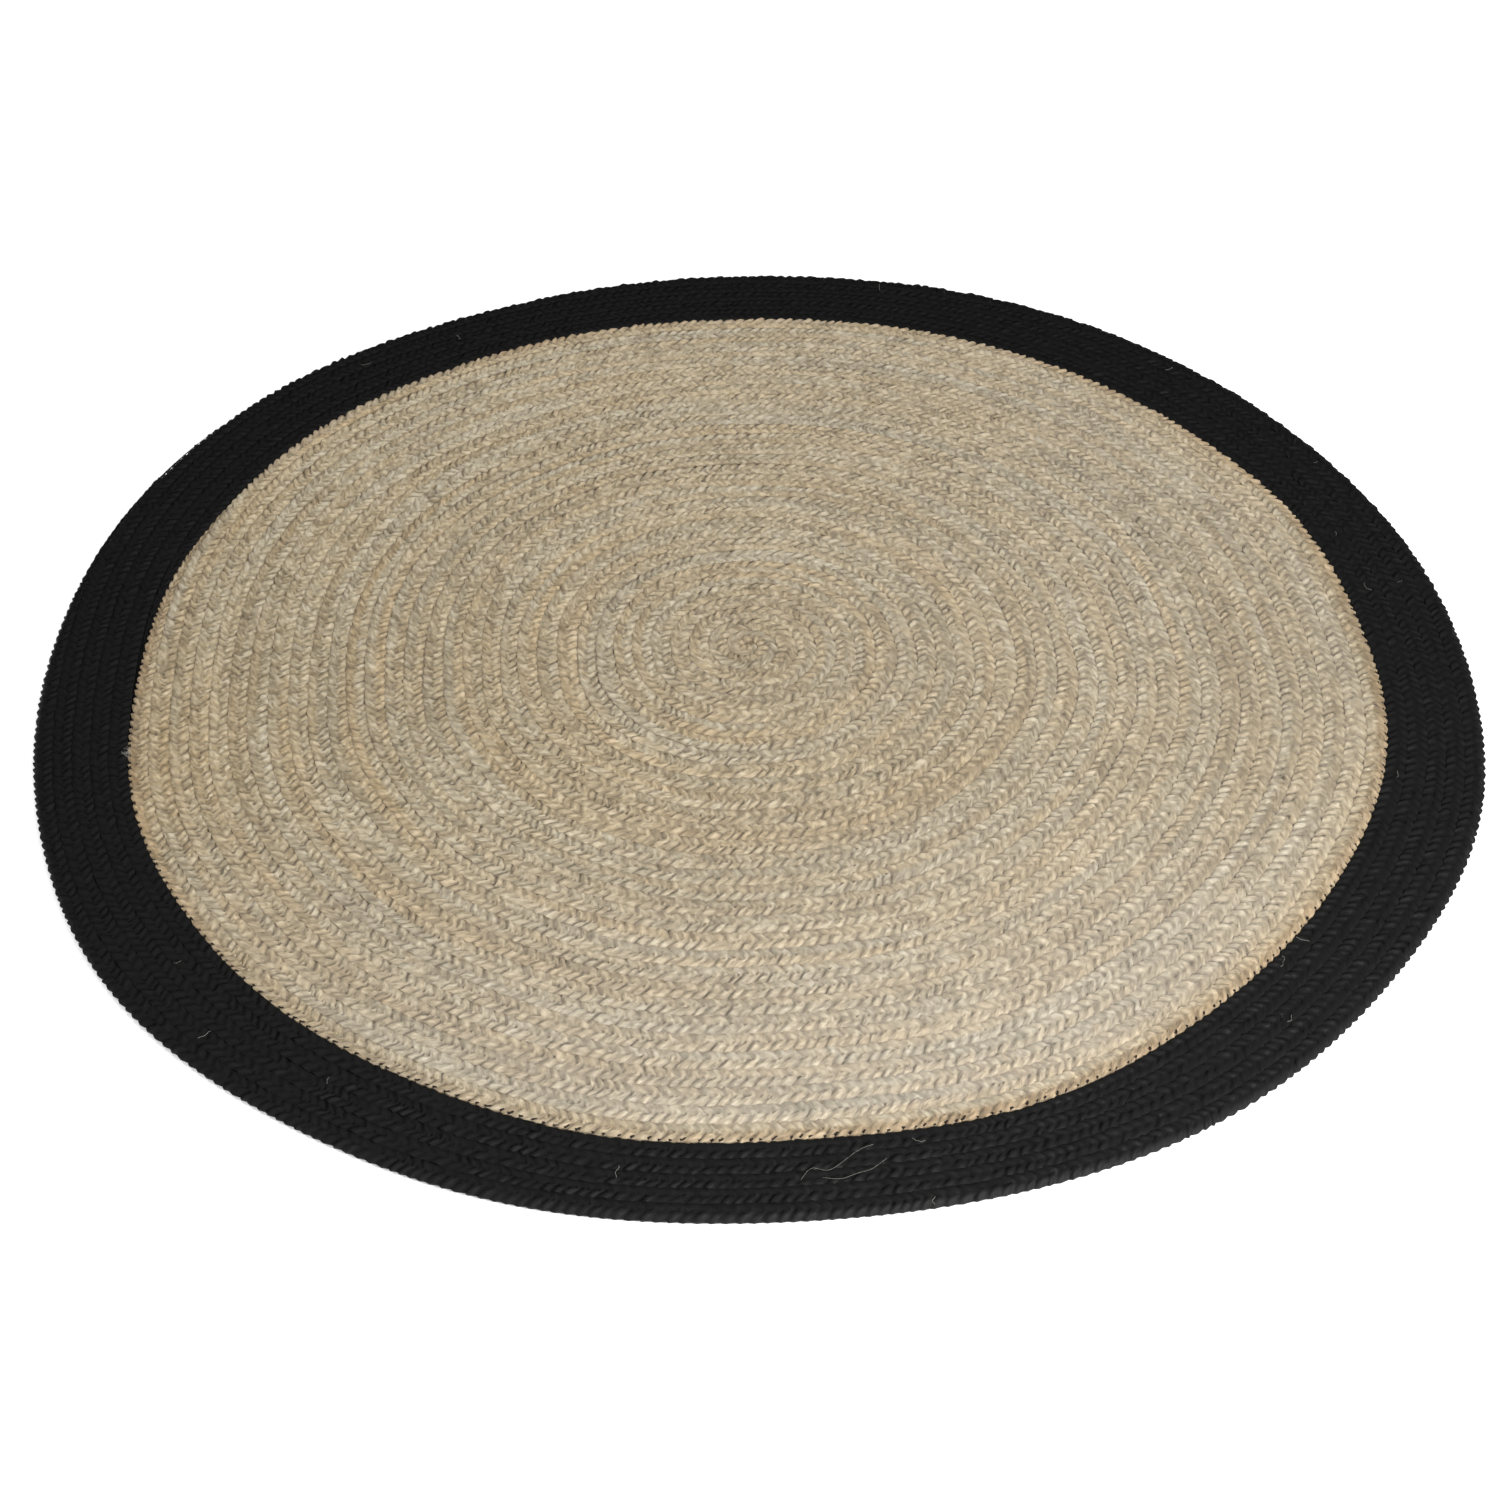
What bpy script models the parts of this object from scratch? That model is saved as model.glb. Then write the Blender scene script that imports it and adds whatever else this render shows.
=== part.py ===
"""Round rug of braided jute, 1.2 m across.

A flat three-strand braid is wound round and round and sewn edge to edge. The
field is natural jute and the border, five rounds wide, is the same braid dyed
black. Each is one flat solid with its wound rounds raised on the upper face.
Metres, +Z up, underside at Z = 0, origin under the middle of the rug.
"""

from collections import namedtuple
from math import atan2, cos, hypot, radians, sin, tau

import bmesh
import bpy

# Driving dimensions, in metres
RUG_RADIUS = 0.600          # mean radius, out to the rim
FIELD_RADIUS = 0.523        # mean radius of the natural field
THICKNESS = 0.009           # floor to the crest of a round
GROOVE_DEPTH = 0.0022       # crest of a round down to the seam beside it
RIM_HEIGHT = 0.0045         # height of the rim's widest line
RIM_SHOULDER = 0.0014       # the upper face's edge stands in from that line
RIM_TUCK = 0.0030           # the underside's edge stands in from that line
SEAM_GAP = 0.0003           # between the field and the border
WINDING_CENTRE = (-0.005, 0.024)    # where the braid starts, a little off the middle

# The winding
FIELD_ROUNDS = 32
BORDER_ROUNDS = 5
STEPS = 60                  # straight lengths in one round
SHIFT_STEPS = 8             # lengths over which an outer round moves out by one width
SPLICE_ANGLE = radians(192)     # where natural braid ends and black braid begins

# Hand winding leaves the edges uneven. Each wave adds its depth in metres at every
# crest round the edge, counted in lobes, the first crest at the angle in degrees.
Wave = namedtuple("Wave", "lobes depth crest")
RIM_WAVES = (
    Wave(lobes=2, depth=0.0014, crest=176),
    Wave(lobes=3, depth=0.0019, crest=100),
    Wave(lobes=4, depth=0.0040, crest=53),
    Wave(lobes=5, depth=0.0020, crest=1),
    Wave(lobes=8, depth=0.0007, crest=29),
    Wave(lobes=9, depth=0.0010, crest=19),
)
FIELD_WAVES = (
    Wave(lobes=1, depth=0.0022, crest=266),
    Wave(lobes=2, depth=0.0014, crest=100),
    Wave(lobes=3, depth=0.0016, crest=4),
    Wave(lobes=4, depth=0.0018, crest=47),
    Wave(lobes=5, depth=0.0015, crest=68),
    Wave(lobes=8, depth=0.0013, crest=26),
)

JUTE_COLOUR = (0.42, 0.35, 0.24)
BLACK_COLOUR = (0.012, 0.012, 0.012)
JUTE_ROUGHNESS = 0.85
BLACK_ROUGHNESS = 0.9
WELD = 0.00001


def clear_scene():
    for obj in list(bpy.data.objects):
        bpy.data.objects.remove(obj, do_unlink=True)


def make_material(name, colour, roughness):
    material = bpy.data.materials.new(name)
    material.use_nodes = True
    shader = material.node_tree.nodes["Principled BSDF"]
    shader.inputs["Base Color"].default_value = (*colour, 1.0)
    shader.inputs["Roughness"].default_value = roughness
    shader.inputs["Metallic"].default_value = 0.0
    return material


# ---------------------------------------------------------------- plan of the rug

def edge_radius(mean, waves, angle):
    return mean + sum(w.depth * cos(w.lobes * (angle - radians(w.crest))) for w in waves)


def rim_point(angle, inset=0.0):
    radius = edge_radius(RUG_RADIUS, RIM_WAVES, angle) - inset
    return radius * cos(angle), radius * sin(angle)


def field_edge_point(angle, outset=0.0):
    radius = edge_radius(FIELD_RADIUS, FIELD_WAVES, angle) + outset
    return radius * cos(angle), radius * sin(angle)


def between(start, end, share):
    return tuple(a + share * (b - a) for a, b in zip(start, end))


def field_plan(share, angle):
    """A point of the field, share 0 at the winding's start and 1 at its edge."""
    return between(WINDING_CENTRE, field_edge_point(angle, -SEAM_GAP / 2), share)


def border_plan(share, angle):
    """A point of the border, share 0 at its inner edge and 1 at its outer one."""
    return between(field_edge_point(angle, SEAM_GAP / 2), rim_point(angle, RIM_SHOULDER), share)


def rim_centre():
    """Middle of the box round the rim, which becomes the rug's origin."""
    xs, ys = zip(*(rim_point(tau * step / STEPS + SPLICE_ANGLE) for step in range(STEPS)))
    return (min(xs) + max(xs)) / 2, (min(ys) + max(ys)) / 2


# ---------------------------------------------------------------- the wound braid

def seam_share(turns, rounds, shifts_at_splice):
    """How far out the seam lies after so many turns, as a share of the width.

    Near the middle of the field it is an even spiral. Further out, and in the
    border, each round stays level and moves out by one width past the splice.
    """
    if turns <= 0:
        return 0.0
    if turns >= rounds:
        return 1.0
    done = int(turns)
    part = turns - done
    quick = min(1.0, part * STEPS / SHIFT_STEPS)
    quick = quick * quick * (3 - 2 * quick)
    weight = 1.0 if shifts_at_splice else done / rounds
    return (done + (1 - weight) * part + weight * quick) / rounds


def wound_face(plan, rounds, first_step, shifts_at_splice):
    """Upper face of a wound braid: one long strip, its turns welded side by side."""
    last_step = (rounds - 1) * STEPS + SHIFT_STEPS
    length = last_step - first_step
    bm = bmesh.new()
    bmesh.ops.create_grid(bm, x_segments=length, y_segments=2, size=1.0)
    for vert in bm.verts:
        step = first_step + round((vert.co.x + 1) / 2 * length)
        across = round(vert.co.y + 1)           # 0 inner seam, 1 crest, 2 outer seam
        turns = step / STEPS
        inner = seam_share(turns, rounds, shifts_at_splice)
        outer = seam_share(turns + 1, rounds, shifts_at_splice)
        angle = SPLICE_ANGLE - tau * (step % STEPS) / STEPS
        vert.co.x, vert.co.y = plan(inner + (outer - inner) * across / 2, angle)
        fullness = min(1.0, (outer - inner) * rounds) if across == 1 else 0.0
        vert.co.z = THICKNESS - GROOVE_DEPTH * (1 - fullness)
    bmesh.ops.remove_doubles(bm, verts=bm.verts, dist=WELD)
    return bm


def open_edges(bm, beyond, within):
    """Open edges whose ends both lie in a ring round the winding's start."""
    def inside(vert):
        away = hypot(vert.co.x - WINDING_CENTRE[0], vert.co.y - WINDING_CENTRE[1])
        return beyond <= away < within
    return [e for e in bm.edges if e.is_boundary and all(inside(v) for v in e.verts)]


def drop_edge(bm, edges, height, outset=0.0):
    """Extrudes an edge loop to a new height, moved out from the rug's middle."""
    made = bmesh.ops.extrude_edge_only(bm, edges=edges)["geom"]
    for vert in (g for g in made if isinstance(g, bmesh.types.BMVert)):
        angle = atan2(vert.co.y, vert.co.x)
        vert.co.x += outset * cos(angle)
        vert.co.y += outset * sin(angle)
        vert.co.z = height
    return [g for g in made if isinstance(g, bmesh.types.BMEdge)]


def finish_object(bm, name, material, collection):
    centre_x, centre_y = rim_centre()
    bmesh.ops.translate(bm, verts=bm.verts, vec=(-centre_x, -centre_y, 0))
    bmesh.ops.dissolve_degenerate(bm, edges=bm.edges, dist=WELD)
    bmesh.ops.recalc_face_normals(bm, faces=bm.faces)
    mesh = bpy.data.meshes.new(name)
    bm.to_mesh(mesh)
    bm.free()
    mesh.materials.append(material)
    mesh.shade_smooth()
    mesh.set_sharp_from_angle(angle=radians(45))
    obj = bpy.data.objects.new(name, mesh)
    collection.objects.link(obj)
    return obj


def make_field(material, collection):
    """Natural field: wound from its start out to the splice, flat underneath."""
    bm = wound_face(field_plan, FIELD_ROUNDS, 0, False)
    first_round = 1.5 * FIELD_RADIUS / FIELD_ROUNDS
    bmesh.ops.holes_fill(bm, edges=open_edges(bm, 0.0, first_round))
    edge = open_edges(bm, first_round, RUG_RADIUS)
    underside = drop_edge(bm, edge, 0.0)
    bmesh.ops.contextual_create(bm, geom=underside)
    return finish_object(bm, "jute_field", material, collection)


def make_border(material, collection):
    """Black border: a ring round the field, with a rounded rim outside."""
    bm = wound_face(border_plan, BORDER_ROUNDS, -STEPS, True)
    middle = (FIELD_RADIUS + RUG_RADIUS) / 2
    inner_edge = open_edges(bm, 0.0, middle)
    outer_edge = open_edges(bm, middle, 2 * RUG_RADIUS)
    inner_foot = drop_edge(bm, inner_edge, 0.0)
    rim = drop_edge(bm, outer_edge, RIM_HEIGHT, RIM_SHOULDER)
    outer_foot = drop_edge(bm, rim, 0.0, -RIM_TUCK)
    bmesh.ops.bridge_loops(bm, edges=inner_foot + outer_foot)
    return finish_object(bm, "black_border", material, collection)


def main():
    clear_scene()
    collection = bpy.data.collections.new("round_jute_rug")
    bpy.context.scene.collection.children.link(collection)
    natural = make_material("natural_jute", JUTE_COLOUR, JUTE_ROUGHNESS)
    black = make_material("black_jute", BLACK_COLOUR, BLACK_ROUGHNESS)
    make_field(natural, collection)
    make_border(black, collection)


main()
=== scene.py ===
"""Looks of the round braided jute rug: every stitch of the wound braid as geometry.

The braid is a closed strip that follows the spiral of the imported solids. Its upper
face has the two rows of slanting stitches of a flat three-strand braid, each stitch a
rounded bump with creases beside it. Metres, +Z up, floor at Z = 0.
"""

from collections import namedtuple
from math import cos, radians, sin, sqrt, tau

import bpy
import numpy as np
from mathutils import Matrix, Vector


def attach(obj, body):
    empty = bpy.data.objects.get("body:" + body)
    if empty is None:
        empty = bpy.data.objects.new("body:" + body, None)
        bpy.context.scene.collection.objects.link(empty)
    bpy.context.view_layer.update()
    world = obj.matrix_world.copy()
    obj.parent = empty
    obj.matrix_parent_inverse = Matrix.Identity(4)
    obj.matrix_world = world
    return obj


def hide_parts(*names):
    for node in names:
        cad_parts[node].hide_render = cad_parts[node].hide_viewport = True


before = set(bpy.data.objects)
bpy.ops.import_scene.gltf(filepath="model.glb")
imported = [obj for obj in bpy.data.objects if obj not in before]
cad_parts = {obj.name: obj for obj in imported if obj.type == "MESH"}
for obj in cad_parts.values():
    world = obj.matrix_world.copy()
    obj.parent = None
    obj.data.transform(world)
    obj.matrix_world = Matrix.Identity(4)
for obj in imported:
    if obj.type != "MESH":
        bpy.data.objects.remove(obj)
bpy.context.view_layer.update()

# ---------------------------------------------------------------- the rug's plan
# The same sizes as the solids, in metres and degrees.
RUG_RADIUS = 0.600
FIELD_RADIUS = 0.523
THICKNESS = 0.009
SEAM_GAP = 0.0003
WINDING_CENTRE = np.array([-0.005, 0.024])
STEPS = 60                  # straight lengths in one round of the solids
SHIFT_STEPS = 8             # lengths over which an outer round moves out by one width
SPLICE_ANGLE = radians(192)     # where natural braid ends and black braid begins

Wave = namedtuple("Wave", "lobes depth crest")
RIM_WAVES = (
    Wave(lobes=2, depth=0.0014, crest=176),
    Wave(lobes=3, depth=0.0019, crest=100),
    Wave(lobes=4, depth=0.0040, crest=53),
    Wave(lobes=5, depth=0.0020, crest=1),
    Wave(lobes=8, depth=0.0007, crest=29),
    Wave(lobes=9, depth=0.0010, crest=19),
)
FIELD_WAVES = (
    Wave(lobes=1, depth=0.0022, crest=266),
    Wave(lobes=2, depth=0.0014, crest=100),
    Wave(lobes=3, depth=0.0016, crest=4),
    Wave(lobes=4, depth=0.0018, crest=47),
    Wave(lobes=5, depth=0.0015, crest=68),
    Wave(lobes=8, depth=0.0013, crest=26),
)
# Smaller waves of the same edges, which the solids leave out
FINE_RIM_WAVES = (
    Wave(lobes=7, depth=0.0007, crest=45),
    Wave(lobes=12, depth=0.0005, crest=10),
)
FINE_FIELD_WAVES = (
    Wave(lobes=2, depth=0.0005, crest=5),
    Wave(lobes=7, depth=0.0008, crest=40),
    Wave(lobes=9, depth=0.0006, crest=22),
    Wave(lobes=11, depth=0.0004, crest=31),
    Wave(lobes=12, depth=0.0009, crest=19),
)

# How the hands pulled rounds a little wider or narrower here and there. depth is a share
# of the width wound, and outward the waves from the inside of that width to its outside.
Ripple = namedtuple("Ripple", "depth outward lobes start")
FIELD_RIPPLES = (
    Ripple(depth=0.0018, outward=4.3, lobes=3, start=1.0),
    Ripple(depth=0.0012, outward=6.7, lobes=-5, start=2.2),
    Ripple(depth=0.0008, outward=11.0, lobes=9, start=4.0),
)
# Short ones, which grow from the winding's middle outwards
SHORT_FIELD_RIPPLES = (
    Ripple(depth=0.0010, outward=17.3, lobes=191, start=0.0),
    Ripple(depth=0.0009, outward=23.9, lobes=-277, start=1.0),
)
BORDER_RIPPLES = (
    Ripple(depth=0.0100, outward=1.0, lobes=4, start=0.0),
)


def edge_radius(mean, waves, angle):
    return mean + sum(w.depth * np.cos(w.lobes * (angle - radians(w.crest))) for w in waves)


def polar(radius, angle):
    return np.stack([radius * np.cos(angle), radius * np.sin(angle)], axis=-1)


def rim_point(angle):
    return polar(edge_radius(RUG_RADIUS, RIM_WAVES + FINE_RIM_WAVES, angle), angle)


def field_edge_point(angle, outset):
    return polar(edge_radius(FIELD_RADIUS, FIELD_WAVES + FINE_FIELD_WAVES, angle) + outset, angle)


def rim_centre():
    """Middle of the box round the rim, which is the solids' origin."""
    angle = tau * np.arange(STEPS) / STEPS + SPLICE_ANGLE
    rim = polar(edge_radius(RUG_RADIUS, RIM_WAVES, angle), angle)
    return (rim.min(axis=0) + rim.max(axis=0)) / 2


def rippled(ripples, share, angle):
    """The sway that ripples give at a share of the width and an angle."""
    return sum(r.depth * np.sin(tau * r.outward * share + r.lobes * angle + r.start) for r in ripples)


def inside_width(share):
    """One well inside the width wound, and nothing at its two edges."""
    return np.clip(4 * share * (1 - share), 0, 1)


def field_plan(share, angle):
    edge = field_edge_point(angle, -SEAM_GAP / 2)
    sway = rippled(FIELD_RIPPLES, share, angle) + share * rippled(SHORT_FIELD_RIPPLES, share, angle)
    share = share + sway * inside_width(share)
    return WINDING_CENTRE + share[..., None] * (edge - WINDING_CENTRE)


def border_plan(share, angle):
    inner = field_edge_point(angle, SEAM_GAP / 2)
    share = share + rippled(BORDER_RIPPLES, share, angle) * inside_width(share)
    return inner + share[..., None] * (rim_point(angle) - inner)


# ---------------------------------------------------------------- the two braids

# plan gives the place of a share of the width wound, level rounds step out at the splice,
# width is the braid's own and pieces the lengths that it is made in. relief is the depth
# of its creases to the section's. At the outer edge a stitch's end goes in and out by
# scallop, in half widths, and scallop_in is the part of that on the inside. drop is how
# much lower the edge lies there, and tuck how far the foot of the first round reaches in.
Braid = namedtuple(
    "Braid",
    "name plan rounds level width pieces relief scallop scallop_in drop tuck seed",
)
FIELD_BRAID = Braid(
    name="jute_braid", plan=field_plan, rounds=32, level=False, width=0.0163, pieces=12,
    relief=1.0, scallop=0.22, scallop_in=0.8, drop=0.0, tuck=0.0, seed=11,
)
BORDER_BRAID = Braid(
    name="black_braid", plan=border_plan, rounds=5, level=True, width=0.0154, pieces=3,
    relief=0.80, scallop=0.24, scallop_in=0.6, drop=0.0030, tuck=0.0025, seed=12,
)

STITCH = 0.0088             # one stitch to the next along each row
RINGS = 4                   # rings of points for each stitch
MEASURE_STEPS = 900         # steps in a round to measure the spiral's length by
NARROWING = 0.6             # power by which the braid is thinner where its round narrows

SLANT = 0.68                # stitches that a row leans forward from middle to edge
JITTER = 0.28               # how far a crease strays from its even place, in stitches
STRETCH = 1.4               # how far the stitches stray along the braid, in stitches
STRETCH_SPAN = 5            # stitches from one stray to the next
EVEN_ENDS = 3               # stitches at each end of the winding that straighten out

MIDLINE_SWAY = 0.13         # how far the two rows reach past each other, in half widths
INNER_LINES = 0.6           # half widths from the midline inside which the rows are uneven
UNEVEN_LINES = 0.06         # how uneven, in half widths

PEAKED = 1.3                # power that makes a stitch's crest narrower than its creases
SLACK_CREASE = 0.75         # depth of the slackest creases to the section's
TIGHT_CREASE = 0.70         # how much deeper the tightest ones are
MIDLINE_PITS = 0.0010       # how much deeper the midline is where a crease ends
LIFT = 0.00080              # how unevenly high the stitches stand
ROUGH = 0.00050             # unevenness of every point, in metres

# Half of the braid's section, from its midline out and round to the underside: place
# across in half widths, and the height above the braid's mid-plane, in metres, on a
# stitch's crest and in the crease beside it. pull is its part in the edge's scallops,
# and shade is painted shade: how much darker the yarn's colour is made there, where
# less of it faces up and it would lie in shadow.
Section = namedtuple("Section", "across crest crease pull shade")
HALF_SECTION = (
    Section(across=0.00, crest=0.0031, crease=0.0031, pull=0.0, shade=0.45),
    Section(across=0.25, crest=0.0042, crease=0.0024, pull=0.0, shade=0.10),
    Section(across=0.52, crest=0.0045, crease=0.0024, pull=0.0, shade=0.00),
    Section(across=0.79, crest=0.0042, crease=0.0022, pull=0.2, shade=0.05),
    Section(across=1.00, crest=0.0035, crease=0.0020, pull=1.0, shade=0.34),
    Section(across=0.99, crest=-0.0010, crease=-0.0010, pull=1.0, shade=1.00),
    Section(across=0.62, crest=-0.0045, crease=-0.0036, pull=0.0, shade=0.50),
)
EDGE_LINE = 4               # the upper face's edge in that list

# Random tones along the stitches: weight, and stitches from one value to the next
ROW_TONES = ((0.25, 30), (0.22, 11))
ROW_WARMTHS = ((0.45, 40), (0.40, 10))
STRAND_TONES = ((0.20, 22), (0.20, 4))
STRAND_WARMTHS = ((0.20, 25),)
STITCH_TONES = 0.15         # weight of the single stitches' own tone and warmth
SPECKLE = 0.18              # spread of the tone from point to point

# Painted shade in the creases and along the seams, in shares of the section's shade
CREASE_SHADE = 0.65         # how much darker a crease is than the crest beside it
SLACK_SHADE = 0.4           # darkness of the slackest creases
TIGHT_SHADE = 1.4           # how much darker the tightest ones are
OPEN_SEAM_SPAN = 40         # stitches from one value of the seams' openness to the next
OPEN_SEAM_FROM = 0.55       # openness from which a seam shows darker
OPEN_SEAM_GAIN = 8
OPEN_SEAM_MOST = 3


def seam_share(braid, turns):
    """How far out a seam lies after so many turns, as a share of the width.

    In the field, the spiral goes from an even one in the middle to rounds that are
    nearly level at the edge. In the border, each round stays level and moves out by
    one width past the splice.
    """
    turns = np.clip(turns, 0, braid.rounds)
    done = np.floor(turns)
    part = turns - done
    quick = np.clip(part * STEPS / SHIFT_STEPS, 0, 1)
    quick = quick * quick * (3 - 2 * quick)
    weight = 1.0 if braid.level else done / braid.rounds
    return (done + (1 - weight) * part + weight * quick) / braid.rounds


def measure_spiral(braid):
    """How many stitches the winding has, and a function for the turns made at any of them."""
    turns = np.arange(-1, braid.rounds - 1 + SHIFT_STEPS / STEPS, 1 / MEASURE_STEPS)
    inner = seam_share(braid, turns)
    outer = seam_share(braid, turns + 1)
    middle = braid.plan((inner + outer) / 2, SPLICE_ANGLE - tau * turns)
    run = np.concatenate([[0], np.cumsum(np.linalg.norm(np.diff(middle, axis=0), axis=1))])
    stitches = int(run[-1] / STITCH)

    def turns_at(place):
        return np.interp(np.clip(place, 0, stitches) * (run[-1] / stitches), run, turns)

    return stitches, turns_at


# ---------------------------------------------------------------- random yarn

def slow_noise(rng, count, span):
    """Random values that change smoothly, with a new one every so many stitches."""
    knots = rng.random(int(count / span) + 3)
    return np.interp(np.arange(count) / span, np.arange(len(knots)), knots)


def mixed_noise(rng, count, parts):
    """Slow noises of several spans together, each with its weight."""
    return sum(weight * slow_noise(rng, count, span) for weight, span in parts)


def row_tones(rng, count):
    """Tone and warmth of the stitches in one row, which show the three strands in turn."""
    tone = mixed_noise(rng, count, ROW_TONES)
    warmth = mixed_noise(rng, count, ROW_WARMTHS)
    for strand in range(3):
        tone[strand::3] += mixed_noise(rng, count, STRAND_TONES)[strand::3]
        warmth[strand::3] += mixed_noise(rng, count, STRAND_WARMTHS)[strand::3]
    tone += STITCH_TONES * (rng.random(count) - 0.5)
    warmth += STITCH_TONES * (rng.random(count) - 0.5)
    return tone, warmth


# ---------------------------------------------------------------- meshes from arrays

def make_mesh(name, points, faces):
    """A mesh from an array of points and a list of index arrays, one for each face size."""
    mesh = bpy.data.meshes.new(name)
    corners = np.concatenate([f.ravel() for f in faces]).astype(np.int32)
    sizes = np.concatenate([np.full(len(f), f.shape[1]) for f in faces])
    starts = np.concatenate([[0], np.cumsum(sizes)[:-1]]).astype(np.int32)
    mesh.vertices.add(len(points))
    mesh.vertices.foreach_set("co", points.astype(np.float32).ravel())
    mesh.loops.add(len(corners))
    mesh.loops.foreach_set("vertex_index", corners)
    mesh.polygons.add(len(starts))
    mesh.polygons.foreach_set("loop_start", starts)
    mesh.update(calc_edges=True)
    mesh.shade_smooth()
    return mesh


def add_float(mesh, name, values):
    layer = mesh.attributes.new(name, "FLOAT", "POINT")
    layer.data.foreach_set("value", values.astype(np.float32).ravel())


def add_uv(mesh, name, per_corner):
    layer = mesh.uv_layers.new(name=name)
    layer.data.foreach_set("uv", per_corner.astype(np.float32).ravel())


def corner_points(mesh):
    """The point at each face corner."""
    points = np.empty(len(mesh.loops), dtype=np.int32)
    mesh.loops.foreach_get("vertex_index", points)
    return points


# ---------------------------------------------------------------- the braided strip

def braid_section():
    """The whole section round, as an array for each column of its half."""
    left = [s._replace(across=-s.across) for s in HALF_SECTION[1:]]
    return Section(*np.array(left[::-1] + list(HALF_SECTION)).T)


class StitchGrid:
    """The points of a braid, ring by ring, and where in its stitches each one lies."""

    def __init__(self, stitches):
        self.count = stitches + 2       # stitches of a row, with one more at each end
        self.section = braid_section()
        across = self.section.across
        self.ring = np.arange(stitches * RINGS + 1)
        self.phase = (self.ring / RINGS)[:, None] + np.zeros_like(across)
        self.in_row = self.phase + np.where(across < 0, 0.0, 0.5)
        self.row = np.where(across < 0, 0, 1) + np.zeros_like(self.in_row, dtype=int)
        self.fullness = np.abs(np.sin(self.in_row * tau / 2)) ** PEAKED
        self.midline = across == 0
        self.upper = self.section.crest > 0

    def by_crease(self, values):
        """Values of a table of rows and creases, at every point near the crease."""
        return values[self.row, np.round(self.in_row).astype(int)]

    def by_stitch(self, values):
        """Values of a table of rows and stitches at every point, mixed on a crease."""
        before = values[self.row, np.floor(self.in_row - 1e-6).astype(int)]
        here = values[self.row, np.floor(self.in_row + 1e-6).astype(int)]
        mixed = (before + here) / 2
        mixed[:, self.midline] = mixed.mean(axis=1, keepdims=True)
        return mixed

    def along(self, values):
        """Values of the stitches along the braid, at every point."""
        return np.interp(self.phase, np.arange(self.count), values)


def pull_stitches(grid, rng):
    """How far along the braid each point lies, in stitches, and how tight its crease is."""
    across = np.abs(grid.section.across)
    jitter = rng.uniform(-JITTER, JITTER, (2, grid.count))
    shift = grid.by_crease(jitter) * (1 - grid.fullness) * across
    tight = grid.by_crease(rng.random((2, grid.count))) ** 2
    shift += grid.along(STRETCH * (slow_noise(rng, grid.count, STRETCH_SPAN) - 0.5))
    from_end = np.minimum(grid.ring, grid.ring[-1] - grid.ring)
    ends = np.clip(from_end / (EVEN_ENDS * RINGS), 0, 1)[:, None]
    return grid.phase + (SLANT * across + shift) * ends, tight


def place_across(braid, grid, turn, rng):
    """How far out each point lies, which are at the outer edge, and how plump the braid is."""
    across = grid.section.across
    inner = seam_share(braid, turn)
    outer = seam_share(braid, turn + 1)
    seam = np.where(across < 0, inner, outer)
    outermost = seam > 1 - 0.1 / braid.rounds
    plump = np.clip((outer - inner) * braid.rounds, 0, 1) ** NARROWING
    drawn = braid.scallop * grid.section.pull * outermost * (braid.scallop_in - grid.fullness)
    sway = np.where(grid.midline, -MIDLINE_SWAY * np.cos(tau * grid.phase), 0.0)
    sway += (np.abs(across) < INNER_LINES) * rng.normal(0, UNEVEN_LINES, grid.phase.shape)
    share = inner + (outer - inner) * (1 + across * (1 - drawn) + sway) / 2
    foot = (seam <= 0.0) & ~grid.upper
    share -= foot * braid.tuck / (RUG_RADIUS - FIELD_RADIUS)
    return share, outermost, plump


def stitch_heights(braid, grid, tight, outermost, rng):
    """How high each point lies above the braid's mid-plane."""
    across, crest, crease = grid.section[:3]
    lift = grid.by_stitch(rng.uniform(-LIFT, LIFT, (2, grid.count))) * grid.fullness * grid.upper
    pits = MIDLINE_PITS * np.cos(2 * tau * grid.phase) * grid.midline
    depth = (SLACK_CREASE + TIGHT_CREASE * tight) * braid.relief
    height = crest - (crest - crease) * (1 - grid.fullness) * depth + lift - pits * depth
    height += rng.uniform(-ROUGH, ROUGH, grid.phase.shape) * grid.upper
    return height - braid.drop * outermost * across ** 2 * grid.upper


def yarn_fields(grid, tight, rng):
    """What the materials read at each point: tone, warmth, speckle and painted shade in the creases.
    """
    tones = [row_tones(rng, grid.count) for row in range(2)]
    # Painted shade: darker colour in the creases, along the more open seams and where the midline's
    # creases end
    openness = slow_noise(rng, grid.count, OPEN_SEAM_SPAN)
    open_seam = np.clip(OPEN_SEAM_GAIN * (openness - OPEN_SEAM_FROM), 0, OPEN_SEAM_MOST)
    painted_shade = grid.section.shade * (1 + (grid.section.pull == 1) * grid.along(open_seam))
    midline_painted_shade = np.cos(2 * tau * grid.phase) / 2
    painted_shade += CREASE_SHADE * np.where(grid.midline, midline_painted_shade, 1 - grid.fullness)
    return {
        "tone": grid.by_stitch(np.array([tone for tone, warmth in tones])),
        "warmth": grid.by_stitch(np.array([warmth for tone, warmth in tones])),
        "speckle": rng.normal(0.5, SPECKLE, grid.phase.shape),
        "crease": painted_shade * (SLACK_SHADE + TIGHT_SHADE * tight),
    }


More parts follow.
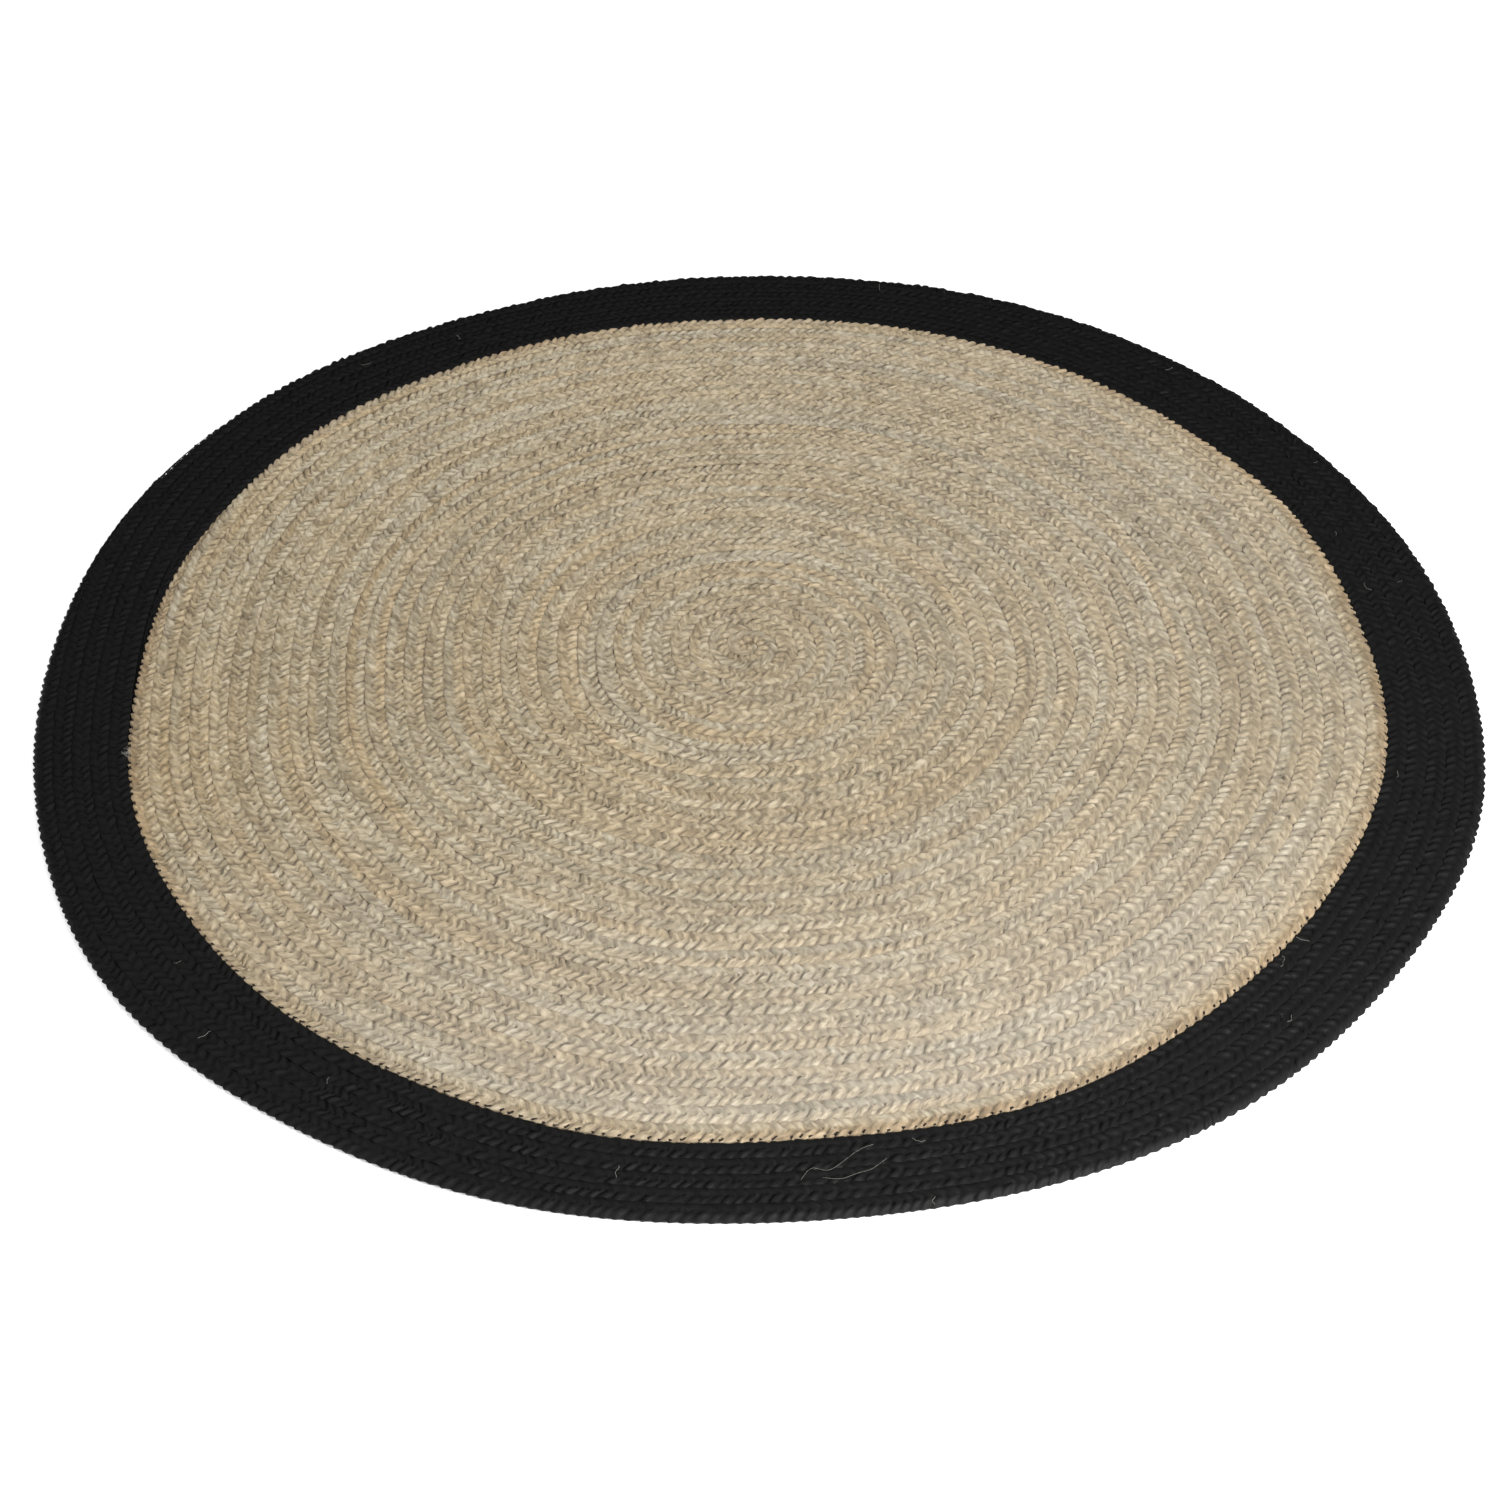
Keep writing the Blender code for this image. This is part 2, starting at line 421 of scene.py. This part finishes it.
def make_braid(braid):
    """The wound braid as closed lengths, each a mesh, and the creases at its outer edge."""
    rng = np.random.default_rng(braid.seed)
    stitches, turns_at = measure_spiral(braid)
    grid = StitchGrid(stitches)
    forward, tight = pull_stitches(grid, rng)
    turn = turns_at(forward)
    share, outermost, plump = place_across(braid, grid, turn, rng)
    height = stitch_heights(braid, grid, tight, outermost, rng)
    plane = braid.plan(share, SPLICE_ANGLE - tau * turn) - rim_centre()
    points = np.concatenate([plane, (THICKNESS / 2 + height * plump)[..., None]], axis=-1)
    fields = yarn_fields(grid, tight, rng) | {"share": share}
    cuts = np.linspace(0, stitches, braid.pieces + 1).astype(int) * RINGS
    lengths = [
        make_length(f"{braid.name}_{n + 1}", grid, points, fields, cuts[n], cuts[n + 1])
        for n in range(braid.pieces)
    ]
    return lengths, edge_creases(points, outermost)


def edge_creases(points, outermost):
    """Lines of four points in from the outer edge, along the creases of the last row."""
    middle = len(HALF_SECTION) - 1
    inwards = [middle + line for line in range(EDGE_LINE, 0, -1)]
    crease = (np.arange(len(points)) % RINGS == RINGS // 2) & outermost[:, inwards[0]]
    return points[crease][:, inwards]


def mark_seams(mesh, columns):
    """Keeps the upper face's shading apart from the walls between rounds and the caps."""
    ends = np.empty(2 * len(mesh.edges), dtype=np.int32)
    mesh.edges.foreach_get("vertices", ends)
    ring, column = np.divmod(ends.reshape(-1, 2), columns)
    middle = (columns - 1) // 2
    edges = middle - EDGE_LINE, middle + EDGE_LINE
    seams = (column[:, 0] == column[:, 1]) & np.isin(column[:, 0], edges)
    caps = (ring[:, 0] == ring[:, 1]) & np.isin(ring[:, 0], (0, ring.max()))
    layer = mesh.attributes.new("sharp_edge", "BOOLEAN", "EDGE")
    layer.data.foreach_set("value", seams | caps)


# The bake map lays a length out in rows. The underside gets less room than the top.
BAKE_ROW = 0.024            # metres of height for each row, at the map's even scale
BAKE_UNDERSIDE = 0.35
BAKE_GAP = 0.06             # of a row, left free above and below it
BAKE_SPAN = 0.975           # of the map's width, the rest is for the two end caps
BAKE_MARGIN = 0.002
BAKE_CAP_RADIUS = 0.008
BAKE_CAPS = ((0.989, 0.25), (0.989, 0.75))


def bake_places():
    """Where each line of points lies across a row of the bake map, from 0 to 1."""
    section = braid_section()
    points = np.stack([section.across * FIELD_BRAID.width / 2, section.crest], axis=1)
    spans = np.linalg.norm(np.roll(points, -1, axis=0) - points, axis=1)
    below = (section.crest < 0) & (np.roll(section.crest, -1) < 0)
    places = np.concatenate([[0], np.cumsum(np.where(below, BAKE_UNDERSIDE, 1) * spans)])
    return places / places[-1]


def add_bake_map(mesh, steps, columns):
    rows = round(sqrt(steps / RINGS * STITCH / BAKE_ROW))
    per_row = -(-steps // rows)
    step, column = np.divmod(np.arange(steps * columns), columns)
    row, place = np.divmod(step, per_row)
    along = (place[:, None] + np.array([0, 0, 1, 1])) / per_row
    over = bake_places()[column[:, None] + np.array([0, 1, 1, 0])]
    u = BAKE_MARGIN + along * (BAKE_SPAN - 2 * BAKE_MARGIN)
    v = (row[:, None] + BAKE_GAP + over * (1 - 2 * BAKE_GAP)) / rows
    walls = np.stack([u, v], axis=-1).reshape(-1, 2)
    circle = polar(BAKE_CAP_RADIUS, tau * np.arange(columns) / columns)
    caps = [circle + place for place in BAKE_CAPS]
    add_uv(mesh, "OFBake", np.concatenate([walls, *caps]))


def make_length(name, grid, points, fields, start, stop):
    """One closed length of the braid, from ring start to ring stop."""
    rows, columns = stop - start + 1, points.shape[1]
    numbers = np.arange(rows * columns).reshape(rows, columns)
    beside = np.roll(numbers, -1, axis=1)
    quads = np.stack([numbers[:-1], beside[:-1], beside[1:], numbers[1:]], axis=-1)
    caps = np.stack([numbers[0][::-1], numbers[-1]])
    mesh = make_mesh(name, points[start:stop + 1].reshape(-1, 3), [quads.reshape(-1, 4), caps])
    mark_seams(mesh, columns)
    for key, values in fields.items():
        add_float(mesh, key, values[start:stop + 1])
    from_middle = grid.section.across * FIELD_BRAID.width / 2
    yarn = np.stack(np.broadcast_arrays(from_middle, grid.phase * STITCH), axis=-1)
    add_uv(mesh, "yarn", yarn[start:stop + 1].reshape(-1, 2)[corner_points(mesh)])
    add_bake_map(mesh, rows - 1, columns)
    return bpy.data.objects.new(name, mesh)


# ---------------------------------------------------------------- thread and loose fibres

# Thread at each crease of the field's edge, from the edge inwards
SEWING_PLACE = np.array([0.0, 0.5, 1.0, 1.5, 2.0, 2.4])
SEWING_RADIUS = np.array([0.0011, 0.0010, 0.0009, 0.0008, 0.0007, 0.0004])
SEWING_LIFT = np.array([0.0012, 0.0012, 0.0011, 0.0010, 0.0007, -0.0002])
SEWING_REACHES = (0.5, 1.0)     # shares of that line which a thread covers
SEWING_SIZES = (0.6, 1.1)   # thinnest and thickest thread, in shares of those radii
SEWING_SIDES = 6
SEWING_SEED = 13
PULL_PLACES = (-0.45, -0.20)    # from front to back
PULLS = (1.0, 0.5)          # how far in the thread reaches at those places

# Two pale fibres curled on the border: degrees and metres round the winding's centre
CURLED_FIBRES = (
    ((273.4, 0.584), (274.2, 0.572), (275.4, 0.579), (276.9, 0.567), (278.0, 0.560), (278.9, 0.558)),
    ((274.9, 0.583), (276.2, 0.586), (277.3, 0.582), (278.4, 0.580), (279.6, 0.572)),
)
FIBRE_RADIUS = 0.00010
FIBRE_SIDES = 3
FIBRE_STEPS = 24
FIBRE_HEIGHT = 0.0093
FIBRE_UNEVEN = 0.0004
FIBRE_SEED = 14

# Short fibres here and there on the border, and where the two braids are spliced
Fluff = namedtuple("Fluff", "count lengths bend")
LINT = Fluff(count=18, lengths=(0.005, 0.014), bend=0.25)
TUFT = Fluff(count=16, lengths=(0.003, 0.009), bend=0.12)
LINT_RADII = (0.530, 0.588)
TUFT_SPREAD = 0.006         # radians round the splice
TUFT_INSET = 0.002
TUFT_FAN = 0.6              # radians by which its fibres differ in direction


def flat_sides(along):
    """The direction level with the floor and square to each direction along a line."""
    along = along / np.linalg.norm(along, axis=-1, keepdims=True)
    return np.stack([-along[..., 1], along[..., 0], np.zeros(along.shape[:-1])], axis=-1)


def tubes(name, lines, side, radius, sides):
    """Thin closed tubes along lines of points, all with as many points, in one mesh."""
    count, steps = lines.shape[:2]
    turn = tau * np.arange(sides) / sides
    up = np.array([0.0, 0.0, 1.0])
    round_about = np.cos(turn)[:, None] * side[..., None, :] + np.sin(turn)[:, None] * up
    points = lines[:, :, None, :] + radius[:, :, None, None] * round_about
    grid = np.arange(count * steps * sides).reshape(count, steps, sides)
    beside = np.roll(grid, -1, axis=2)
    quads = np.stack([grid[:, :-1], beside[:, :-1], beside[:, 1:], grid[:, 1:]], axis=-1)
    caps = np.concatenate([grid[:, 0, ::-1], grid[:, -1]])
    mesh = make_mesh(name, points.reshape(-1, 3), [quads.reshape(-1, 4), caps])
    return bpy.data.objects.new(name, mesh)


def make_sewing(creases):
    """Black thread that sews the border on, in the creases of the field's last row."""
    rng = np.random.default_rng(SEWING_SEED)
    pull = np.interp(creases[:, 0, 1], PULL_PLACES, PULLS)
    reach = (pull * rng.uniform(*SEWING_REACHES, len(creases)))[:, None] * SEWING_PLACE
    step = np.minimum(reach.astype(int), creases.shape[1] - 2)
    part = (reach - step)[..., None]
    row = np.arange(len(creases))[:, None]
    lines = creases[row, step] * (1 - part) + creases[row, step + 1] * part
    lines[..., 2] += SEWING_LIFT
    along = (lines[:, -1:, :2] - lines[:, :1, :2]) * np.ones((len(SEWING_PLACE), 1))
    radius = SEWING_RADIUS * rng.uniform(*SEWING_SIZES, len(creases))[:, None]
    return tubes("black_sewing", lines, flat_sides(along), radius, SEWING_SIDES)


def smooth_line(corners):
    """A soft curve through a few corners."""
    corners = np.array(corners)
    even = np.linspace(0, len(corners) - 1, FIBRE_STEPS)
    line = np.stack([np.interp(even, np.arange(len(corners)), c) for c in corners.T], axis=1)
    for repeat in range(3):
        line[1:-1] = (line[:-2] + 2 * line[1:-1] + line[2:]) / 4
    return line


def wandering(rng, place, heading, length, bend):
    """A flat line that starts at a place and strays from its heading."""
    turning = heading + np.cumsum(rng.normal(0, bend, FIBRE_STEPS))
    return place + np.cumsum(polar(length / FIBRE_STEPS, turning), axis=0)


def make_fibres():
    """Pale jute fibres that have come loose: curled, as lint, and at the splice."""
    rng = np.random.default_rng(FIBRE_SEED)
    flat = []
    for corners in CURLED_FIBRES:
        line = smooth_line([(radius, radians(angle)) for angle, radius in corners])
        flat.append(WINDING_CENTRE + polar(line[:, 0], line[:, 1]))
    for piece in range(LINT.count):
        place = polar(rng.uniform(*LINT_RADII), rng.uniform(0, tau))
        length = rng.uniform(*LINT.lengths)
        flat.append(wandering(rng, place, rng.uniform(0, tau), length, LINT.bend))
    for piece in range(TUFT.count):
        angle = SPLICE_ANGLE + rng.normal(0, TUFT_SPREAD)
        place = field_edge_point(angle, -TUFT_INSET)
        length = rng.uniform(*TUFT.lengths)
        heading = angle + rng.normal(0, TUFT_FAN)
        flat.append(wandering(rng, place, heading, length, TUFT.bend))
    flat = np.array(flat) - rim_centre()
    height = FIBRE_HEIGHT + rng.uniform(0, FIBRE_UNEVEN, flat.shape[:2])
    lines = np.concatenate([flat, height[..., None]], axis=-1)
    side = flat_sides(np.gradient(flat, axis=1))
    return tubes("loose_fibres", lines, side, np.full(height.shape, FIBRE_RADIUS), FIBRE_SIDES)


# ---------------------------------------------------------------- materials

# Base colour of the natural yarn by its tone, what tints or covers it, and the colours of its painted
# shade and painted sheen
NATURAL_TONES = (
    (0.00, (0.252, 0.196, 0.111)),
    (0.30, (0.355, 0.285, 0.174)),
    (0.50, (0.407, 0.332, 0.210)),
    (0.70, (0.458, 0.381, 0.248)),
    (1.00, (0.562, 0.483, 0.339)),
)
TONE_AT_MIDDLE = 1.92       # what the weighed variations add up to, less a half
WARM_TINT = (1.02, 0.93, 0.81, 1)
COOL_TINT = (0.97, 1.0, 1.05, 1)
EDGE_TINT = (0.88, 0.80, 0.74, 1)
FLECK_COLOUR = (0.20, 0.145, 0.085, 1)
PAINTED_SHADE_COLOUR = (0.20, 0.15, 0.09, 1)
PAINTED_SHEEN_COLOUR = (0.48, 0.47, 0.45, 1)

BLACK_TONES = (
    (0.30, (0.0084, 0.0084, 0.0084)),
    (0.70, (0.0096, 0.0096, 0.0096)),
)
BLACK_THREAD = (0.020, 0.014, 0.011, 1)
PALE_FIBRE = (0.36, 0.34, 0.30, 1)
FIBRE_GRAIN = (260, 2600, 1)    # streaks to a metre along a stitch and across it
PLY_GRAIN = (170, 700, 1)
BUMP_DISTANCE = 0.0007


class Shader:
    """A small helper that adds nodes to a Principled material and links them."""

    def __init__(self, name):
        self.material = bpy.data.materials.new(name)
        self.material.use_nodes = True
        self.tree = self.material.node_tree

    def put(self, node, socket, value):
        target = node.inputs[socket]
        if isinstance(value, bpy.types.NodeSocket):
            self.tree.links.new(value, target)
        else:
            target.default_value = value

    def put_all(self, node, inputs):
        for key, value in inputs.items():
            self.put(node, key.replace("_", " "), value)

    def add(self, kind, settings=None, **inputs):
        node = self.tree.nodes.new(kind)
        for key, value in (settings or {}).items():
            setattr(node, key, value)
        self.put_all(node, inputs)
        return node

    def finish(self, **inputs):
        """Sets the sockets of the surface itself, and gives the material."""
        self.put_all(self.tree.nodes["Principled BSDF"], inputs)
        return self.material

    def math(self, operation, *values):
        node = self.add("ShaderNodeMath", {"operation": operation})
        for index, value in enumerate(values):
            self.put(node, index, value)
        return node.outputs[0]

    def weighed(self, start, *terms):
        """The start plus each value times its weight."""
        total = start
        for value, weight in terms:
            total = self.math("MULTIPLY_ADD", value, weight, total)
        return total

    def attribute(self, name):
        return self.add("ShaderNodeAttribute", {"attribute_name": name}).outputs["Fac"]

    def noise(self, vector, scale, detail, roughness):
        node = self.add("ShaderNodeTexNoise", Vector=vector, Scale=scale, Detail=detail,
                        Roughness=roughness)
        return node.outputs["Fac"]

    def stretched(self, vector, scale):
        return self.add("ShaderNodeMapping", Vector=vector, Scale=scale).outputs[0]

    def rising(self, value, low, high, to_low=0.0, to_high=1.0):
        node = self.add("ShaderNodeMapRange", Value=value, From_Min=low, From_Max=high,
                        To_Min=to_low, To_Max=to_high)
        return node.outputs[0]

    def ramp(self, factor, stops):
        node = self.add("ShaderNodeValToRGB", Fac=factor)
        elements = node.color_ramp.elements
        while len(elements) < len(stops):
            elements.new(0.5)
        for element, (place, colour) in zip(elements, stops):
            element.position = place
            element.color = (*colour, 1.0)
        return node.outputs["Color"]

    def mix(self, factor, first, second, blend="MIX"):
        """Mixes two colours, by the sockets that a colour mix uses among the node's own."""
        node = self.add("ShaderNodeMix", {"data_type": "RGBA", "blend_type": blend})
        for socket, value in ((0, factor), (6, first), (7, second)):
            self.put(node, socket, value)
        return node.outputs[2]

    def bump(self, height, strength):
        node = self.add("ShaderNodeBump", Height=height, Strength=strength, Distance=BUMP_DISTANCE)
        return node.outputs[0]


def yarn_relief(shader):
    """Fine fibres and plies that run along each stitch, and the height they make."""
    yarn = shader.add("ShaderNodeUVMap", {"uv_map": "yarn"}).outputs[0]
    along_fibres = shader.stretched(yarn, FIBRE_GRAIN)
    along_plies = shader.stretched(yarn, PLY_GRAIN)
    fibres = shader.noise(along_fibres, scale=1.0, detail=2.0, roughness=0.6)
    plies = shader.noise(along_plies, scale=1.0, detail=1.0, roughness=0.5)
    return fibres, plies, shader.math("MULTIPLY_ADD", fibres, 0.5, plies)


def natural_tone(shader, place, right, back, clouds, fibres, plies):
    """The yarn's tone, with a half for the mean, with painted light that makes it paler at the back
    and painted shade that makes it darker at the right.
    """
    grain = shader.noise(place, scale=190.0, detail=1.0, roughness=0.6)
    tone = shader.weighed(
        shader.attribute("tone"),
        (fibres, 0.45),
        (plies, 0.60),
        (clouds, 0.25),
        (grain, 0.80),
        (shader.attribute("speckle"), 1.8),
        # Painted light at the back and painted shade at the right, which even out the lamp's light
        (shader.rising(back, 0.00, 0.40), 0.30),
        (shader.rising(right, -0.05, 0.40), -0.10),
    )
    return shader.math("SUBTRACT", tone, TONE_AT_MIDDLE)


def natural_colour(shader, tone, place, right, back, clouds):
    """The tone's colour, warmer and cooler, browned, flecked, with painted shade in the creases and a
    painted sheen in front and at the right.
    """
    warmth = shader.attribute("warmth")
    share = shader.attribute("share")
    colour = shader.ramp(tone, NATURAL_TONES)
    colour = shader.mix(shader.rising(warmth, 0.35, 0.85), colour, WARM_TINT, "MULTIPLY")
    colour = shader.mix(shader.rising(warmth, 0.55, 0.25), colour, COOL_TINT, "MULTIPLY")

    at_edge = shader.rising(share, 0.976, 0.990)
    in_patches = shader.rising(clouds, 0.35, 0.60, 0.35, 1.0)
    brown = shader.math("MULTIPLY", at_edge, in_patches)
    colour = shader.mix(brown, colour, EDGE_TINT, "MULTIPLY")

    specks = shader.noise(place, scale=120.0, detail=2.0, roughness=0.6)
    colour = shader.mix(shader.rising(specks, 0.64, 0.74, 0.0, 0.5), colour, FLECK_COLOUR)
    # Painted shade in the creases, seams and midline, from the "crease" values
    painted_shade = shader.math("MULTIPLY", shader.attribute("crease"), 0.6)
    colour = shader.mix(painted_shade, colour, PAINTED_SHADE_COLOUR)

    # Painted sheen: a pale grey veil in front and at the right, less at the outer edge, standing in
    # for the lamp's glossy reflection
    in_front = shader.rising(back, -0.15, -0.50, 0.0, 0.20)
    at_right = shader.rising(right, -0.40, 0.30, 0.0, 0.12)
    inside = shader.rising(share, 0.955, 0.985, 1.0, 0.3)
    painted_sheen = shader.math("MULTIPLY", shader.math("ADD", in_front, at_right), inside)
    return shader.mix(painted_sheen, colour, PAINTED_SHEEN_COLOUR)


def natural_jute():
    shader = Shader("natural_jute")
    place = shader.add("ShaderNodeTexCoord").outputs["Object"]
    right, back = shader.add("ShaderNodeSeparateXYZ", Vector=place).outputs[:2]
    fibres, plies, height = yarn_relief(shader)
    clouds = shader.noise(place, scale=5.0, detail=3.0, roughness=0.6)
    tone = natural_tone(shader, place, right, back, clouds, fibres, plies)
    return shader.finish(
        Base_Color=natural_colour(shader, tone, place, right, back, clouds),
        Roughness=0.55,
        Specular_IOR_Level=0.6,
        Sheen_Weight=0.08,
        Sheen_Roughness=0.5,
        Normal=shader.bump(height, 0.8),
    )


def black_jute():
    shader = Shader("black_jute")
    fibres, _, height = yarn_relief(shader)
    return shader.finish(
        Base_Color=shader.ramp(fibres, BLACK_TONES),
        Roughness=0.62,
        Specular_IOR_Level=0.18,
        Normal=shader.bump(height, 0.3),
    )


def plain_fibre(name, colour):
    return Shader(name).finish(Base_Color=colour, Roughness=0.7, Specular_IOR_Level=0.2)


def floor_paint():
    return Shader("floor").finish(
        Base_Color=(0.93, 0.93, 0.93, 1),
        Roughness=0.9,
        Specular_IOR_Level=0.0,
        Emission_Color=(1, 1, 1, 1),
        Emission_Strength=0.34,
    )


# ---------------------------------------------------------------- stage, lights, camera

# The photograph's camera, found from the two outlines: in metres from the outline's middle
CAMERA_PLACE = (-0.0033, -1.8607, 1.5866)
CAMERA_PITCH = radians(42.03)
CAMERA_ROLL = radians(-0.48)
CAMERA_LENS = 69.65
CAMERA_SENSOR = 36.0

FLOOR_SIZE = 14
SURROUNDINGS = 0.93         # strength of the white light from all round
LAMP_PLACE = (0.9, -1.45, 0.95)
LAMP_SIZE = 0.5
LAMP_POWER = 33


def make_camera():
    data = bpy.data.cameras.new("camera")
    data.lens = CAMERA_LENS
    data.sensor_width = CAMERA_SENSOR
    camera = bpy.data.objects.new("camera", data)
    bpy.context.scene.collection.objects.link(camera)
    forward = Vector((0, cos(CAMERA_PITCH), -sin(CAMERA_PITCH)))
    up = Vector((0, sin(CAMERA_PITCH), cos(CAMERA_PITCH)))
    turn = Matrix.Rotation(CAMERA_ROLL, 3, -forward)
    right = turn @ Vector((1, 0, 0))
    axes = Matrix((right, turn @ up, -forward)).transposed()
    camera.matrix_world = Matrix.Translation(CAMERA_PLACE) @ axes.to_4x4()
    camera.location.xy -= Vector(rim_centre())
    bpy.context.scene.camera = camera


def make_floor():
    bpy.ops.mesh.primitive_plane_add(size=FLOOR_SIZE)
    floor = bpy.context.object
    floor.name = "floor"
    floor.data.materials.append(floor_paint())


def make_surroundings():
    world = bpy.data.worlds.new("studio")
    world.use_nodes = True
    background = world.node_tree.nodes["Background"]
    background.inputs["Color"].default_value = (1, 1, 1, 1)
    background.inputs["Strength"].default_value = SURROUNDINGS
    bpy.context.scene.world = world
    world.cycles_visibility.glossy = False      # the lamp alone shines on the fibres
    bpy.context.scene.view_settings.view_transform = "Standard"


def make_lamp():
    data = bpy.data.lights.new("key", "AREA")
    data.shape = "DISK"
    data.size = LAMP_SIZE
    data.energy = LAMP_POWER
    lamp = bpy.data.objects.new("key", data)
    lamp.location = LAMP_PLACE
    lamp.rotation_euler = (-Vector(LAMP_PLACE)).to_track_quat("-Z", "Y").to_euler()
    bpy.context.scene.collection.objects.link(lamp)


# ---------------------------------------------------------------- putting it together

def show(piece, material):
    bpy.context.scene.collection.objects.link(piece)
    piece.data.materials.append(material)
    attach(piece, "root")


def show_braid(lengths, node, material):
    """Lengths of braid shown in place of a solid."""
    for piece in lengths:
        show(piece, material)
        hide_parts(node)
        stitches = (len(piece.data.vertices) // len(braid_section().across) - 1) / RINGS


def main():
    make_camera()
    make_floor()
    make_surroundings()
    make_lamp()
    field, creases = make_braid(FIELD_BRAID)
    border, _ = make_braid(BORDER_BRAID)
    show_braid(field, "jute_field", natural_jute())
    show_braid(border, "black_border", black_jute())
    show(make_sewing(creases), plain_fibre("black_thread", BLACK_THREAD))
    show(make_fibres(), plain_fibre("pale_fibre", PALE_FIBRE))


main()
